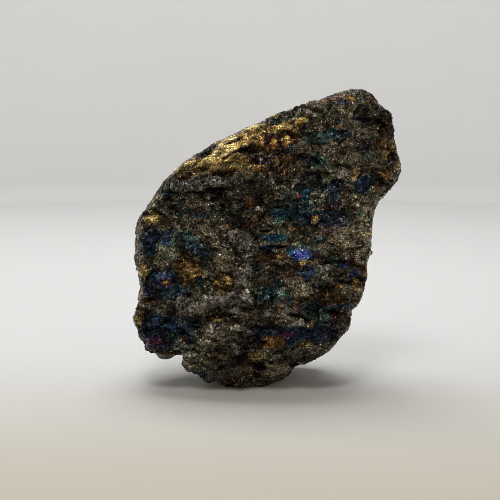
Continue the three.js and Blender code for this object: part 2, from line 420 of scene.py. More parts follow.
def raisedCrust(raw):
    relief = raw.modifiers.new("relief", "NODES")
    relief.node_group = reliefTree()
    setInputs(relief, crustSet["rise"])
    return finished(raw, "ore_crust")


raw = rawCrust()
print("crust:", len(raw.data.polygons), "faces,", len(raw.data.vertices), "points")


# tarnish: where each colour of film lies, kept as values at the crust's points

# film is the colour's place in the order of tarnish, from gold (0) to olive grey (1).
# a tone is the film at the patch's heart, the film at its rim, and how strongly it covers.
tones = {
    "gold": (0.0, 0.06, 0.95),
    "brass": (0.02, 0.0, 0.7),
    "bronze": (0.08, 0.13, 0.62),
    "copper": (0.1, 0.17, 0.85),
    "rust": (0.15, 0.22, 0.6),
    "magenta": (0.24, 0.38, 0.8),
    "plum": (0.27, 0.34, 0.65),
    "violet": (0.43, 0.56, 0.92),
    "indigo": (0.47, 0.6, 0.75),
    "blue": (0.52, 0.68, 0.78),
    "azure": (0.58, 0.72, 0.85),
    "teal": (0.69, 0.8, 0.7),
    "green": (0.77, 0.86, 0.72),
    "amber": (0.035, 0.08, 0.8),
    "navy": (0.5, 0.63, 0.74),
    "deep teal": (0.65, 0.78, 0.68),
    "sage": (1.0, 0.94, 0.6),
}

# what lies on the front: mm across and up from the middle of the view, half width, half
# height, a value, and the lean in degrees where it has one.
# of the patches of film, the tone comes first, the value is the glow, and later ones win.
frontPatches = [
    # broad dark stains under the rest
    ("navy", -23.5, 1.5, 5, 2.8, 0.7), ("deep teal", -14.8, 1.1, 5.4, 2.6, 0.7, -20),
    ("deep teal", 10.8, 9.5, 6, 4, 0.7), ("navy", 17.4, 14.3, 6, 3.2, 0.7),
    ("navy", 20, 8, 6, 2, 0.62), ("navy", -20, -8, 6.5, 4.2, 0.6), ("navy", -20.5, -21, 8, 5, 0.6),
    ("navy", 10.5, -21.5, 11, 3, 0.6), ("deep teal", 20, -15, 6, 4, 0.6),
    ("deep teal", 5.2, -10.5, 5, 2.6, 0.62), ("deep teal", 18.5, 28.2, 5, 1.6, 0.62, 8),
    # the bright sage at (17.8, 18.6) is painted light that lifts a crease the lamps leave in shade
    ("deep teal", 17.3, 20.4, 2.9, 2.6, 1.5), ("sage", 17.8, 18.6, 2.8, 1.8, 4.4),
    ("bronze", -0.6, -28.2, 3, 3.2, 0.3), ("sage", -8, -29.5, 6, 2.4, 0.8, -20),
    # a grey green rim along the top
    ("sage", -22, 20.5, 5, 0.9, 1.1, 38), ("sage", -12, 26.3, 7, 0.9, 1.8, 30),
    ("sage", -2, 31.5, 6, 0.8, 1, 27), ("sage", 10, 35.2, 7, 0.8, 0.9, 18),
    # gold along the bevel at the upper left
    ("amber", -4, 25.6, 12, 3, 0.38, 29), ("amber", -5.5, 21.4, 11.5, 1.9, 0.27, 3),
    ("bronze", 7, 28, 6, 3.2, 0.5, 20), ("gold", -4.4, 26.9, 6.1, 1.9, 2.1, 31),
    ("gold", -5.2, 23.9, 3, 1, 1.6, 28), ("plum", -4.5, 23.9, 6, 0.28, 0.35, 29),
    ("plum", 0, 29.2, 7, 0.28, 0.7, 27), ("plum", -13, 23.4, 4, 0.3, 0.3, 35),
    ("gold", -0.6, 30, 3.6, 1.1, 2, 26), ("gold", 10.6, 31.8, 3.6, 1, 3.6, 12),
    ("sage", 11.5, 34, 4, 0.9, 1.8, 18), ("brass", 2.8, 30.1, 2, 0.9, 1.7, 25),
    ("gold", 5.6, 33.5, 0.9, 0.8, 0.9), ("gold", -9.6, 21.7, 3.2, 1.3, 1.2, 14),
    ("brass", -16.4, 21.4, 3.4, 1.1, 0.8, 30), ("gold", -1.3, 21.4, 5, 1.5, 0.36, 6),
    ("copper", 2.7, 19.9, 2, 0.8, 0.9, 8), ("amber", 7.5, 28.5, 6, 2.6, 1.1, 20),
    ("rust", 6.2, 27, 2.1, 1.8, 0.35), ("copper", 6.2, 27, 1.5, 1.3, 1.2),
    ("gold", 6, 27.3, 0.7, 0.6, 1.9), ("rust", 9.5, 27.4, 1.9, 1.7, 0.35),
    ("copper", 9.6, 27.3, 1.3, 1.2, 1.2), ("gold", 9.4, 27.7, 0.7, 0.6, 1.9),
    ("plum", 4, 27.8, 0.7, 1.6, 0.35, 10), ("plum", 2.8, 22.3, 2.3, 1, 0.45),
    ("bronze", 8.3, 22.3, 2.6, 1.6, 0.6),
    # head
    ("bronze", 34.4, 32.4, 3.4, 4.4, 0.09, 8), ("bronze", 25, 38.1, 1.5, 0.9, 0.45, 10),
    ("teal", 17.8, 28.3, 2.4, 1.3, 0.8, 10), ("azure", 21.2, 29.3, 1.5, 0.8, 0.9, 10),
    ("indigo", 23.3, 29.2, 1.8, 1, 0.7), ("bronze", 34, 25.5, 2.8, 1.9, 0.9),
    ("brass", 35.8, 27, 0.9, 1.1, 1), ("brass", 33.6, 23.4, 1.3, 1.1, 1),
    ("plum", 29.7, 25.8, 1.8, 1.3, 0.5), ("plum", 35.3, 23.3, 1.2, 1.4, 0.8),
    ("bronze", 33.8, 19.3, 1.8, 1.4, 0.9), ("gold", 26.6, 19.3, 1.7, 1.1, 1.8, 60),
    ("blue", 28.5, 16.2, 2.3, 2.1, 0.45, 10), ("teal", 17, 22.5, 1.4, 1.3, 0.7),
    ("teal", 16.8, 16.8, 1.1, 1.9, 0.9), ("azure", 14.3, 14.4, 1.9, 1.4, 0.8),
    ("indigo", 21.8, 16.6, 1.8, 1.2, 0.4), ("blue", 21.2, 13.8, 2.5, 1.3, 1.1),
    ("teal", 11.7, 12, 1.9, 0.9, 0.9), ("magenta", 22, 11.4, 1.2, 0.8, 0.9),
    ("rust", 19, 10.4, 1.4, 0.6, 0.9), ("bronze", 21.4, 9.9, 1.6, 0.7, 1),
    ("copper", 12, 13.7, 0.8, 0.7, 1), ("sage", 7.6, 11.3, 1.8, 1.2, 1.6),
    ("sage", 17, 13.3, 2.1, 1.7, 3.2), ("sage", -5.5, 10.8, 5.5, 3.4, 0.95),
    ("copper", -0.3, 12.1, 1.4, 1.4, 3),
    # middle of the right half
    ("indigo", 13.8, 8.8, 1.9, 1.4, 0.9), ("azure", 7.8, 8.7, 2.2, 1.1, 0.9, -8),
    ("gold", 16.3, 7.6, 1.3, 1.3, 1.1), ("indigo", 20.4, 8.6, 3, 1.1, 0.7),
    ("blue", 14.3, 6.1, 1.3, 1.3, 1.2), ("azure", 5.9, 3.3, 3.7, 1.1, 1.3),
    ("green", 17.3, 2.4, 2.4, 0.7, 1.1, 12), ("teal", 16.2, 0, 1.3, 0.7, 1.2),
    ("indigo", 4.3, 0.9, 2.2, 0.9, 1), ("azure", 11.4, 0, 3.4, 1.7, 1.6, 10),
    ("violet", 12.2, -0.8, 2.8, 1.2, 3.6), ("gold", 13.3, -2.9, 1, 1, 1.1),
    ("bronze", 4, -1.6, 3.6, 1.5, 0.7), ("bronze", 5.2, -2.8, 3.6, 1.4, 1.1),
    ("sage", 5, -4.2, 3.4, 1.1, 1.8), ("teal", 0.9, -3.9, 1.2, 1.5, 1.2),
    ("plum", 16.5, -1.2, 1.3, 1, 0.7), ("sage", 22.4, -2.6, 2.2, 1.2, 1.6),
    ("green", 21.6, -3.3, 1.3, 0.9, 2), ("violet", 23.9, -3.9, 1.4, 0.8, 0.9),
    ("rust", 25.7, -3.2, 1.3, 1.4, 1.7), ("violet", 26, -6.1, 1.6, 1.1, 0.7),
    ("indigo", 15.1, -6.1, 2.4, 1.4, 0.9), ("copper", 10.5, -6.6, 1.6, 0.7, 0.8),
    ("sage", 17.8, -6.8, 2.4, 1.4, 2.2), ("deep teal", 9.6, -12.2, 2.2, 1.3, 0.8),
    # the small bright green spot at (7.9, -10.8) is a painted glint
    ("teal", 5, -10.1, 3.8, 1.9, 1), ("green", 7.9, -10.8, 0.9, 0.6, 5),
    ("gold", 27, -8.8, 1.3, 1.7, 1.4), ("bronze", 20, -10.9, 3.9, 2.6, 0.42),
    ("bronze", 22.5, -9, 1.2, 0.8, 0.8), ("teal", 16.5, -14.7, 3.2, 2.4, 0.4),
    ("teal", 19.7, -17.7, 2, 1.2, 0.7),
    # low right
    ("indigo", 8, -20.9, 5.8, 1.3, 0.8), ("indigo", 18.3, -21.3, 4, 1.6, 0.8),
    ("violet", 15.8, -20.6, 1.6, 0.7, 0.5), ("magenta", 9.6, -21, 2, 1, 1),
    ("copper", 6.2, -23.1, 3.5, 1.4, 0.75), ("sage", 10.5, -25.6, 4, 1.3, 0.7),
    ("brass", 2.2, -26.4, 2.2, 1.5, 1.2), ("brass", 14.5, -23.7, 1.6, 0.5, 1),
    ("bronze", 2.1, -31.5, 3.5, 0.9, 0.8), ("plum", -0.5, -22.7, 2, 1.3, 0.5),
    ("rust", 22.5, -16.5, 2.5, 2, 0.4),
    # left half
    ("indigo", -25, 2.7, 3, 2.2, 0.6), ("teal", -16.2, 3.4, 3.4, 1.5, 0.8, -15),
    ("green", -17.5, 1.7, 1.6, 1, 0.8), ("blue", -13.6, -0.4, 2.6, 1.4, 0.8, -25),
    ("navy", -20, 4.2, 2.2, 1.3, 0.8), ("bronze", -23, 14.6, 1.8, 1.8, 0.35, 30),
    ("bronze", -13.8, 19.2, 2.8, 1, 0.35, 20), ("brass", -23.8, 12.5, 1.2, 1.3, 0.8),
    ("sage", -20.9, -0.5, 2.4, 1.8, 2.1), ("brass", -26.4, -5, 1.4, 1.8, 1),
    ("gold", -24.5, 7.5, 2.3, 1.8, 1.4), ("bronze", -16.2, -6, 3.9, 3.1, 0.85),
    ("copper", -14.2, -4.5, 1.7, 1.2, 0.8), ("amber", -14, -6.2, 2, 1.2, 0.6),
    ("bronze", -6.3, -8.2, 2.4, 2.1, 0.6), ("gold", -5.4, -8, 0.9, 0.9, 1.1),
    ("teal", -12.4, -8, 1, 1.8, 0.9), ("navy", -21.8, -7.9, 3.3, 2.6, 0.7),
    ("indigo", -21.2, -6.4, 2.8, 1.3, 1.3), ("teal", -18.7, -9.6, 1.9, 1.1, 0.9),
    ("magenta", -21.3, -8.2, 1.7, 1.4, 0.8), ("brass", -21.2, -8.2, 0.8, 0.7, 0.6),
    ("indigo", -25.7, -9.2, 1.8, 2, 0.5), ("brass", -27.2, -6, 1.3, 2.4, 1.2),
    ("gold", -28, -16.9, 1.2, 1.7, 1.4),
    # low left lobe
    ("teal", -24.8, -16, 1.6, 1.1, 0.5), ("indigo", -22.3, -19, 5, 2.2, 0.6),
    ("blue", -22, -19.3, 2.2, 1, 0.9), ("violet", -19.3, -19.8, 1, 1, 0.7),
    ("magenta", -22.6, -22.9, 4, 1.7, 0.65), ("teal", -19.7, -21.6, 1.6, 1.1, 1.6),
    ("indigo", -20.4, -24.7, 3.2, 1, 0.9), ("indigo", -14.3, -18.4, 1.9, 1.1, 0.7),
    ("rust", -17, -22.6, 1.5, 0.9, 0.6), ("sage", -15.2, -24.7, 3.8, 2, 3.2, -20),
    ("gold", -8.2, -17.5, 2.2, 0.8, 0.9),
]

# how bright the rock itself is; the one at (-0.8, -28) is painted shade in the foot's hollow
frontLevels = [
    (-12, 17.2, 5.5, 1.6, 0.3, 10), (-17.5, 17.8, 3, 1.8, 0.5, 35), (-11, 13.4, 2, 1.2, 1.9),
    (-2.7, -19.5, 2.2, 1.5, 1.8), (5.2, 16.5, 2.5, 1.6, 0.5), (-11, -14.8, 3.2, 1.2, 1.6, 20),
    (-11, -10.8, 2.2, 1, 0.6), (-2, -2.8, 1.8, 1.6, 1.6), (-15.2, -12.3, 1.8, 1, 1.5),
    (-10.2, -16.3, 2.2, 1, 1.7, 10), (-13.2, 4.8, 2.4, 1.2, 1.5), (26.2, 28.6, 2.4, 1.6, 1.45),
    (-17.5, 9.4, 2.4, 1.4, 1.6), (31.3, 28.2, 1.8, 1.4, 1.4), (-7, -19.6, 1.8, 1, 0.5),
    (20, 34, 2.6, 1.2, 0.55, 20), (22, 25.2, 2.4, 1.4, 1.6), (30.8, 11.4, 1.6, 2, 1.5),
    (28.2, 24.2, 2, 1.6, 1.5), (10.4, -16.8, 2.2, 1.4, 0.6), (21, 4.8, 2.2, 1.6, 0.65),
    (17, 3.8, 2, 1.2, 0.6), (-6.8, 6, 2.4, 1.6, 0.65), (-9.8, -8.2, 2, 2.2, 0.4),
    (16.5, -26, 4, 1.5, 0.45, 30), (15.2, 4.5, 2.5, 1.5, 0.55), (34.2, 31.8, 3.6, 5, 0.3),
    (32.5, 35.2, 2.4, 1.4, 0.4, -40), (-7.2, -3.2, 2.6, 2, 0.55), (31.2, 14.8, 2.5, 2, 0.5),
    (-23, 14.2, 2, 2.4, 0.55, 40), (7.3, 13, 2.6, 2.4, 1.8), (-14, 18.8, 3, 0.9, 0.5, 20),
    (-0.8, -28, 4.2, 4.4, 0.45), (31, 33, 4, 2.6, 0.6, -30), (-8, -29, 7, 3, 0.85, -20),
    (13.3, -9.6, 3, 2.1, 2.1), (-8, 1.5, 5.5, 5, 1.5), (25, 5.5, 6.5, 10, 1.95, -8),
    (22, 29, 12, 8, 1.05, 25), (-8.5, 8, 6, 5, 1.25), (-6.5, 12, 4, 3, 0.7), (-22, -22, 6, 5, 0.6),
    (12, -21.5, 12, 4, 0.75), (18, -12, 8, 6, 0.75), (-10, -26, 8, 5, 1.15),
    (-12, -22.6, 3, 2.4, 1.5), (-3, -10, 5, 6, 1.1), (7, -3, 6, 4, 0.7),
]

# quartz grown through it, by strength
frontQuartz = [
    (-6.8, 17.5, 4.4, 1.1, 0.6), (-11, 13.4, 1.8, 0.7, 0.6), (-14, 15.8, 3.4, 1.2, 0.45),
    (-1.4, -6.2, 2.1, 5.7, 0.7, -30), (-4, -9, 1.8, 4, 0.7, -20), (-11, -13.8, 5.6, 1.5, 1, 22),
    (-17.5, -13.5, 3, 2, 0.6), (-2.5, -12.9, 4.2, 2.2, 0.7, 20), (-0.4, 0.5, 1.5, 5.5, 0.65, 8),
    (4.5, -15.7, 1.6, 1.2, 0.8), (9.3, -15.5, 1.2, 1.4, 0.9), (11.6, -18, 2.4, 0.9, 0.9),
    (-2.7, -19.5, 1.6, 1.1, 1), (-8.5, -20.5, 3.5, 2, 0.5, 15), (-12, -27, 4, 2.5, 0.35, -25),
    (-2.3, -25.5, 0.9, 2.6, 0.9, 35), (9, -26.7, 4, 0.5, 0.7, 5), (7.2, 13, 2, 1.5, 0.5),
    (22.8, 19.4, 2.8, 1.3, 0.5, 10), (-27.4, 0.5, 0.8, 7, 0.4), (-17.5, 6, 4, 1.5, 0.4),
    (5, 6.5, 3, 1.3, 0.4, -25), (0.5, 11, 5, 0.8, 0.5, -38), (-4, 3, 3, 2, 0.5),
    (18.4, -4.4, 2, 1, 0.5),
]

# dark hollows, by depth of shade
frontHollows = [
    (-7, 14.8, 4, 0.8, 1.1, -4), (-14.2, 14.1, 3, 0.6, 1.1), (-21, 13, 1.2, 0.5, 0.8, 30),
    (-3.5, 14, 5, 2.6, 0.35), (-1.2, -27.6, 3, 3.4, 1, -20), (-4, -29.5, 2.4, 2.2, 0.8),
    (11.5, -16.4, 2.8, 0.5, 1, -12), (21, -15.6, 2.2, 0.4, 1, -8), (13.7, -17.2, 1.4, 0.4, 1, -30),
    (1.2, -11, 0.5, 2, 0.9, -20), (-6.5, -16.6, 3, 0.5, 0.9, 15), (-15, -16.5, 3, 0.5, 0.4, 10),
    (7, 0.9, 2.6, 0.4, 0.9), (3.5, 4.9, 1.5, 0.4, 0.8), (-2.2, 8, 0.5, 2.5, 0.8),
    (0.6, 3.5, 0.5, 2.5, 0.8, 10), (24.5, 14.6, 2, 0.6, 0.3), (-25.5, -12.5, 2.5, 0.5, 0.8, 10),
    (-9, -25.5, 1.5, 0.5, 0.7), (24, -8, 3, 0.45, 0.8, -10), (3.2, -14.3, 1.6, 1.2, 0.7),
    (0.4, 25, 3, 1.5, 1, 8), (21.7, 17.3, 1.5, 0.8, 0.7), (32, 17, 2.5, 1, 0.5),
    (6, -8.5, 3, 0.6, 0.6), (-15.7, -11.2, 0.9, 0.7, 0.8), (-5.5, 8, 4, 2, 0.35),
    (-7, -26, 3, 3, 0.35),
]

# knobs and ridges, by rise in mm
frontLumps = [
    (-5.4, 17.7, 1.4, 0.9, 0.7), (-8.3, 17.6, 1.5, 1, 0.9), (-11.2, 17, 1.3, 0.8, 0.7),
    (-13.4, 16, 1.4, 1.1, 0.8), (-16.4, 16.2, 1.5, 1.3, 0.8), (-9, 13.2, 2, 0.9, 0.6),
    (-25, -24.6, 2.2, 1.6, 0.6), (20, -25.5, 4, 1.4, 1.3, 35), (9, 34.6, 11, 1.2, 0.5, 22),
    (-27.8, -22.5, 2, 1.6, 0.8), (36.3, 30, 1.5, 5, 0.6), (-3, 10.5, 1.6, 3, 0.35),
    (-1.5, 4.5, 2, 3.2, 0.5, 10), (-1, -6.8, 1.3, 4.5, 0.6, -20), (-4, -12, 2.2, 1.6, 0.5),
    (-11.5, -13.5, 4.5, 1.2, 0.6, 20), (-18, -13, 2.6, 1.2, 0.5), (12.9, -9.3, 2.7, 1.7, 1),
    (11.5, -18, 2.2, 0.9, 0.7), (-2.7, -19.5, 1.5, 1.1, 0.7), (-2.3, -25.5, 0.7, 2.4, 0.7, 35),
    (16.3, 7.6, 1.2, 1.2, 0.5), (27, -9.3, 1.1, 1.3, 0.4), (13.3, -2.9, 1, 1, 0.4),
    (17.5, 13.2, 1.6, 1.6, 0.5), (-12, -22.5, 2.3, 1.9, 0.6), (-28, 4, 1, 4, 0.2),
    (-21, -0.3, 2, 1.6, 0.5), (-28, -2, 1.6, 2.5, 0.6), (-27.3, -8, 1.6, 3, 0.4),
    (-27.5, -20.5, 1.6, 2, 0.4), (27, -16.5, 2, 3, 1.3, 15), (3, 32, 4, 0.8, 0.3, 20),
    (-23.5, -26.5, 4, 1.8, 0.9), (-21.5, -27.3, 2.6, 1.4, 0.8), (-15, -28.8, 3.8, 1.9, 2.6, -35),
    (-11, -31.8, 3, 1.6, 2, -20), (-5.2, 26.4, 6.5, 1.4, 0.3, 32), (-9.5, 22.2, 3, 1.1, 0.4, 20),
    (4, 15, 3, 0.7, 0.4, 30), (25, 12, 2, 1, 0.4), (6, -26, 5, 0.7, 0.5, 10),
]

randomSets = {  # what lies in random places, sizes in mm, leans in degrees
    "faint": {  # small thin stains between the patches of the front
        "count": 1100,
        "half width": (0.5, 3.0),
        "flatness": (0.3, 0.7),  # half height over half width
        "lean": (-25, 15),
        "cover": 0.5,
        "glow": 0.8,
        "over": 0.35,  # not over films stronger than this
        "tones": ["bronze", "bronze", "brass", "copper", "rust", "rust", "rust", "plum", "plum",
                  "indigo", "blue", "teal", "green", "green"],
    },
    "quartz": {  # the rest are for the sides, the back and the top
        "count": 34,
        "half width": (1.5, 6),
        "flatness": 0.5,
        "lean": (-30, 30),
        "strength": (0.5, 0.9),
    },
    "stains": {
        "count": 36,
        "half width": (4, 10),
        "flatness": (0.3, 0.55),
        "lean": (-25, 15),
        "glow": 0.5,
        "tones": ["navy", "deep teal", "navy", "deep teal", "bronze", "amber"],
    },
    "patches": {
        "count": 120,
        "half width": (1.0, 6.0),
        "flatness": (0.35, 0.75),
        "lean": (-20, 20),
        "glow": (0.5, 1.3),
        "tones": ["gold", "brass", "bronze", "bronze", "bronze", "copper", "rust", "magenta",
                  "indigo", "indigo", "navy", "navy", "blue", "blue", "azure", "teal", "teal",
                  "deep teal", "green"],
    },
}

paintSet = {
    "seed": 21,
    "wavering": ((4.5, 1.5), (1.2, 0.6)),  # of the patches' rims: size and reach, mm
    "steadier": 0.42,  # patches less high than 1 mm over this waver less
    "streak lean": 20,  # degrees, streaks run along the layers
    "streak size": (3.2, 2, 0.8),  # mm along, deep and across
    "fine streaks": (2.1, 0.5),  # how much finer these are, and their strength
    "streak glow": (1.1, 0.15, 2.2),  # strength, darkest, brightest
    "rock": {  # each value of the bare rock: middle, swing, size of its clouds in mm, seed
        "film": (0.82, 0.35, 5.0, 3),
        "vivid": (0.07, 0.12, 3.0, 4),
        "glow": (1, 0.5, 6.0, 6),
        "quartz": (0.12, 0.35, 4.0, 5),
        # the bare rock's shade values start as random darker clouds of its own tone; hollows and
        # cracks add painted shade to them
        "shade": (0, 0.25, 7.0, 7),
    },
    "fade": {  # where each kind of patch starts to fade and ends, 1 is its half width
        "film": (0.7, 1.25),
        "faint": (0.6, 1.2),
        "level": (0.4, 1.4),
        "quartz": (0.5, 1.35),
        "shade": (0.5, 1.25),
        "lump": (0.4, 1.15),
    },
    "deeper": {"film": 1.5, "level": 2, "quartz": 2, "shade": 1, "lump": 1},  # mm, than wide
    "heart": 1.4,  # power, a higher one makes the heart of a patch wider
    "film edge": 0.25,  # how much of a patch's mask carries its film
    "faint edge": 0.3,
    "rim": (0.2, 0.6),  # share of the face turned to the eye where the outline's calm ends
    "front ends": (-0.12, 0.05),  # the same share where the front gives way to the sides
    "hidden": -0.1,
    "foot": 1,  # mm, random patches start above it
    "highest": 5,  # of any value that is kept
}


def smooth(low, high, values):
    t = np.clip((values - low) / (high - low), 0, 1)
    return t * t * (3 - 2 * t)


def clouds(points, size, seed, kind=noise.noise, apart=(5.3, 9.1, 2.9)):
    # soft random values, apart is how far off the next seed's clouds are
    away = Vector(apart) * seed
    return np.array([kind(Vector(point) / size + away) for point in points])


def shifts(points, size, seed):
    return clouds(points, size, seed, noise.noise_vector, (7.1, 3.3, 5.7))


def leaned(across, up, lean):
    # along and over a direction that leans this many degrees
    turn = math.radians(lean)
    along = across * math.cos(turn) + up * math.sin(turn)
    return along, up * math.cos(turn) - across * math.sin(turn)


class Paint:
    # the values laid on the crust's points, which are in mm here
    def __init__(self, mesh):
        count = len(mesh.vertices)
        flat = np.empty(count * 3, np.float32)
        mesh.vertices.foreach_get("co", flat)
        self.points = flat.reshape(-1, 3) / mm
        mesh.vertices.foreach_get("normal", flat)
        self.normals = flat.reshape(-1, 3).copy()
        (broad, broadReach), (fine, fineReach) = paintSet["wavering"]
        self.stray = shifts(self.points, broad, 1) * broadReach
        self.stray += shifts(self.points, fine, 2) * fineReach
        for name, (middle, swing, size, seed) in paintSet["rock"].items():
            setattr(self, name, middle + swing * clouds(self.points, size, seed))
        self.calm = np.zeros(count)
        self.lift = np.zeros(count)
        self.open = np.ones(count)  # where a patch may lie
        across, deep, up = self.points.T
        along, over = leaned(across, up, paintSet["streak lean"])
        long, thick, thin = paintSet["streak size"]
        drawn = np.stack((along / long, deep / thick, over / thin), axis=1)
        finer, strength = paintSet["fine streaks"]
        self.streak = clouds(drawn, 1.0, 8) + strength * clouds(drawn * finer, 1.0, 9)

    def reach(self, centre, half, lean):
        # how far out each point is in a lens shaped patch: 1 at its rim
        share = min(1, paintSet["steadier"] * half[2])
        across, deep, up = (self.points + share * self.stray - centre).T
        along, over = leaned(across, up, lean)
        return np.sqrt((along / half[0]) ** 2 + (deep / half[1]) ** 2 + (over / half[2]) ** 2)

    def mask(self, kind, *shape):
        return 1 - smooth(*paintSet["fade"][kind], self.reach(*shape))

    def layFilm(self, tone, centre, half, lean, glow):
        heart, rim, cover = tones[tone]
        out = np.clip(self.reach(centre, half, lean), 0, 1) ** paintSet["heart"]
        mask = self.mask("film", centre, half, lean) * self.open
        inside = mask > paintSet["film edge"]
        self.film[inside] = (heart + (rim - heart) * out)[inside]
        self.vivid += (cover - self.vivid) * mask
        strength, darkest, brightest = paintSet["streak glow"]
        streaked = np.clip(1 + strength * self.streak, darkest, brightest)
        self.glow += (glow * streaked - self.glow) * mask
        self.quartz *= 1 - mask

    def layFaint(self, tone, centre, half, lean):
        # only where no stronger patch is
        faint = randomSets["faint"]
        mask = self.mask("faint", centre, half, lean)
        inside = (mask > paintSet["faint edge"]) & (self.vivid < faint["over"])
        self.film[inside] = tones[tone][0]
        self.vivid[inside] = np.maximum(self.vivid, faint["cover"] * mask)[inside]
        self.glow[inside] *= faint["glow"]

    def layLevel(self, centre, half, lean, level):
        self.glow *= 1 + (level - 1) * self.mask("level", centre, half, lean)

    def layQuartz(self, centre, half, lean, strength):
        mask = strength * self.mask("quartz", centre, half, lean)
        self.quartz = np.maximum(self.quartz, mask * self.open)

    def layShade(self, centre, half, lean, depth):
        self.shade = np.maximum(self.shade, depth * self.mask("shade", centre, half, lean))

    def layLump(self, centre, half, lean, height):
        # a knob or ridge that stands on the crust
        self.lift += height * self.mask("lump", centre, half, lean)

    def keep(self, mesh):
        for name in ("film", "vivid", "glow", "quartz", "shade", "calm", "lift"):
            values = np.clip(getattr(self, name), 0, paintSet["highest"]).astype(np.float32)
            mesh.attributes.new(name, "FLOAT", "POINT").data.foreach_set("value", values)


def paintFront(paint, mesh):
    surface = BVHTree.FromPolygons(
        [tuple(p) for p in paint.points], [tuple(p.vertices) for p in mesh.polygons]
    )
    turn = camera.rotation_euler.to_matrix()
    eye = camera.location / mm

    def onFront(across, up):
        # the point of the crust that the camera sees there
        aim = turn @ Vector((across, up, -viewSet["distance"]))
        hit = surface.ray_cast(eye, aim.normalized())[0]
        return np.array(hit or surface.find_nearest(eye + aim)[0])

    deeper = paintSet["deeper"]
    for kind, lay, table in (
        ("level", paint.layLevel, frontLevels),
        ("quartz", paint.layQuartz, frontQuartz),
        ("lump", paint.layLump, frontLumps),
        ("shade", paint.layShade, frontHollows),
    ):
        for across, up, wide, high, value, *lean in table:
            lay(onFront(across, up), (wide, wide + deeper[kind], high), sum(lean), value)
    for tone, across, up, wide, high, glow, *lean in frontPatches:
        half = (wide, wide + deeper["film"], high)
        paint.layFilm(tone, onFront(across, up), half, sum(lean), glow)


def paintSides(paint, facing):
    pick = np.random.default_rng(paintSet["seed"])

    def scatter(kind, spots):
        # the tone, place, half sizes and lean of each random patch
        values = randomSets[kind]
        for spot in pick.choice(spots, values["count"], replace=False):
            tone = values["tones"][pick.integers(len(values["tones"]))]
            wide = pick.uniform(*values["half width"])
            high = wide * pick.uniform(*values["flatness"])
            yield tone, paint.points[spot], (wide, wide, high), pick.uniform(*values["lean"])

    for patch in scatter("faint", len(paint.points)):
        paint.layFaint(*patch)

    # everywhere else, the same kinds of patch as on the front
    hidden = np.flatnonzero(
        (facing < paintSet["hidden"]) & (paint.points[:, 2] > paintSet["foot"])
    )
    paint.open = 1 - smooth(*paintSet["front ends"], facing)
    veins = randomSets["quartz"]
    for spot in pick.choice(hidden, veins["count"], replace=False):
        wide = pick.uniform(*veins["half width"])
        lean, strength = pick.uniform(*veins["lean"]), pick.uniform(*veins["strength"])
        half = (wide, wide, wide * veins["flatness"])
        paint.layQuartz(paint.points[spot], half, lean, strength)
    for patch in scatter("stains", hidden):
        paint.layFilm(*patch, randomSets["stains"]["glow"])
    for patch in scatter("patches", hidden):
        paint.layFilm(*patch, pick.uniform(*randomSets["patches"]["glow"]))


def paintCrust(mesh):
    paint = Paint(mesh)
    toEye = np.array(camera.location / mm) - paint.points
    toEye /= np.linalg.norm(toEye, axis=1)[:, None]
    facing = (paint.normals * toEye).sum(axis=1)
    paint.calm = 1 - smooth(*paintSet["rim"], np.abs(facing))
    paintFront(paint, mesh)
    paintSides(paint, facing)
    paint.keep(mesh)


paintCrust(raw.data)
print("tarnish painted")
crust = raisedCrust(raw)
print("crust raised")


# finishes

filmOrder = [  # place in the order of tarnish, colour
    (0.0, (0.86, 0.68, 0.3)),
    (0.05, (0.7, 0.46, 0.14)),
    (0.1, (0.52, 0.29, 0.08)),
    (0.15, (0.46, 0.18, 0.06)),
    (0.22, (0.3, 0.08, 0.06)),
    (0.3, (0.22, 0.04, 0.16)),
    (0.39, (0.13, 0.09, 0.5)),
    (0.48, (0.07, 0.1, 0.32)),
    (0.6, (0.05, 0.18, 0.36)),
    (0.72, (0.06, 0.23, 0.25)),
    (0.84, (0.09, 0.22, 0.14)),
    (1.0, (0.16, 0.15, 0.1)),
]

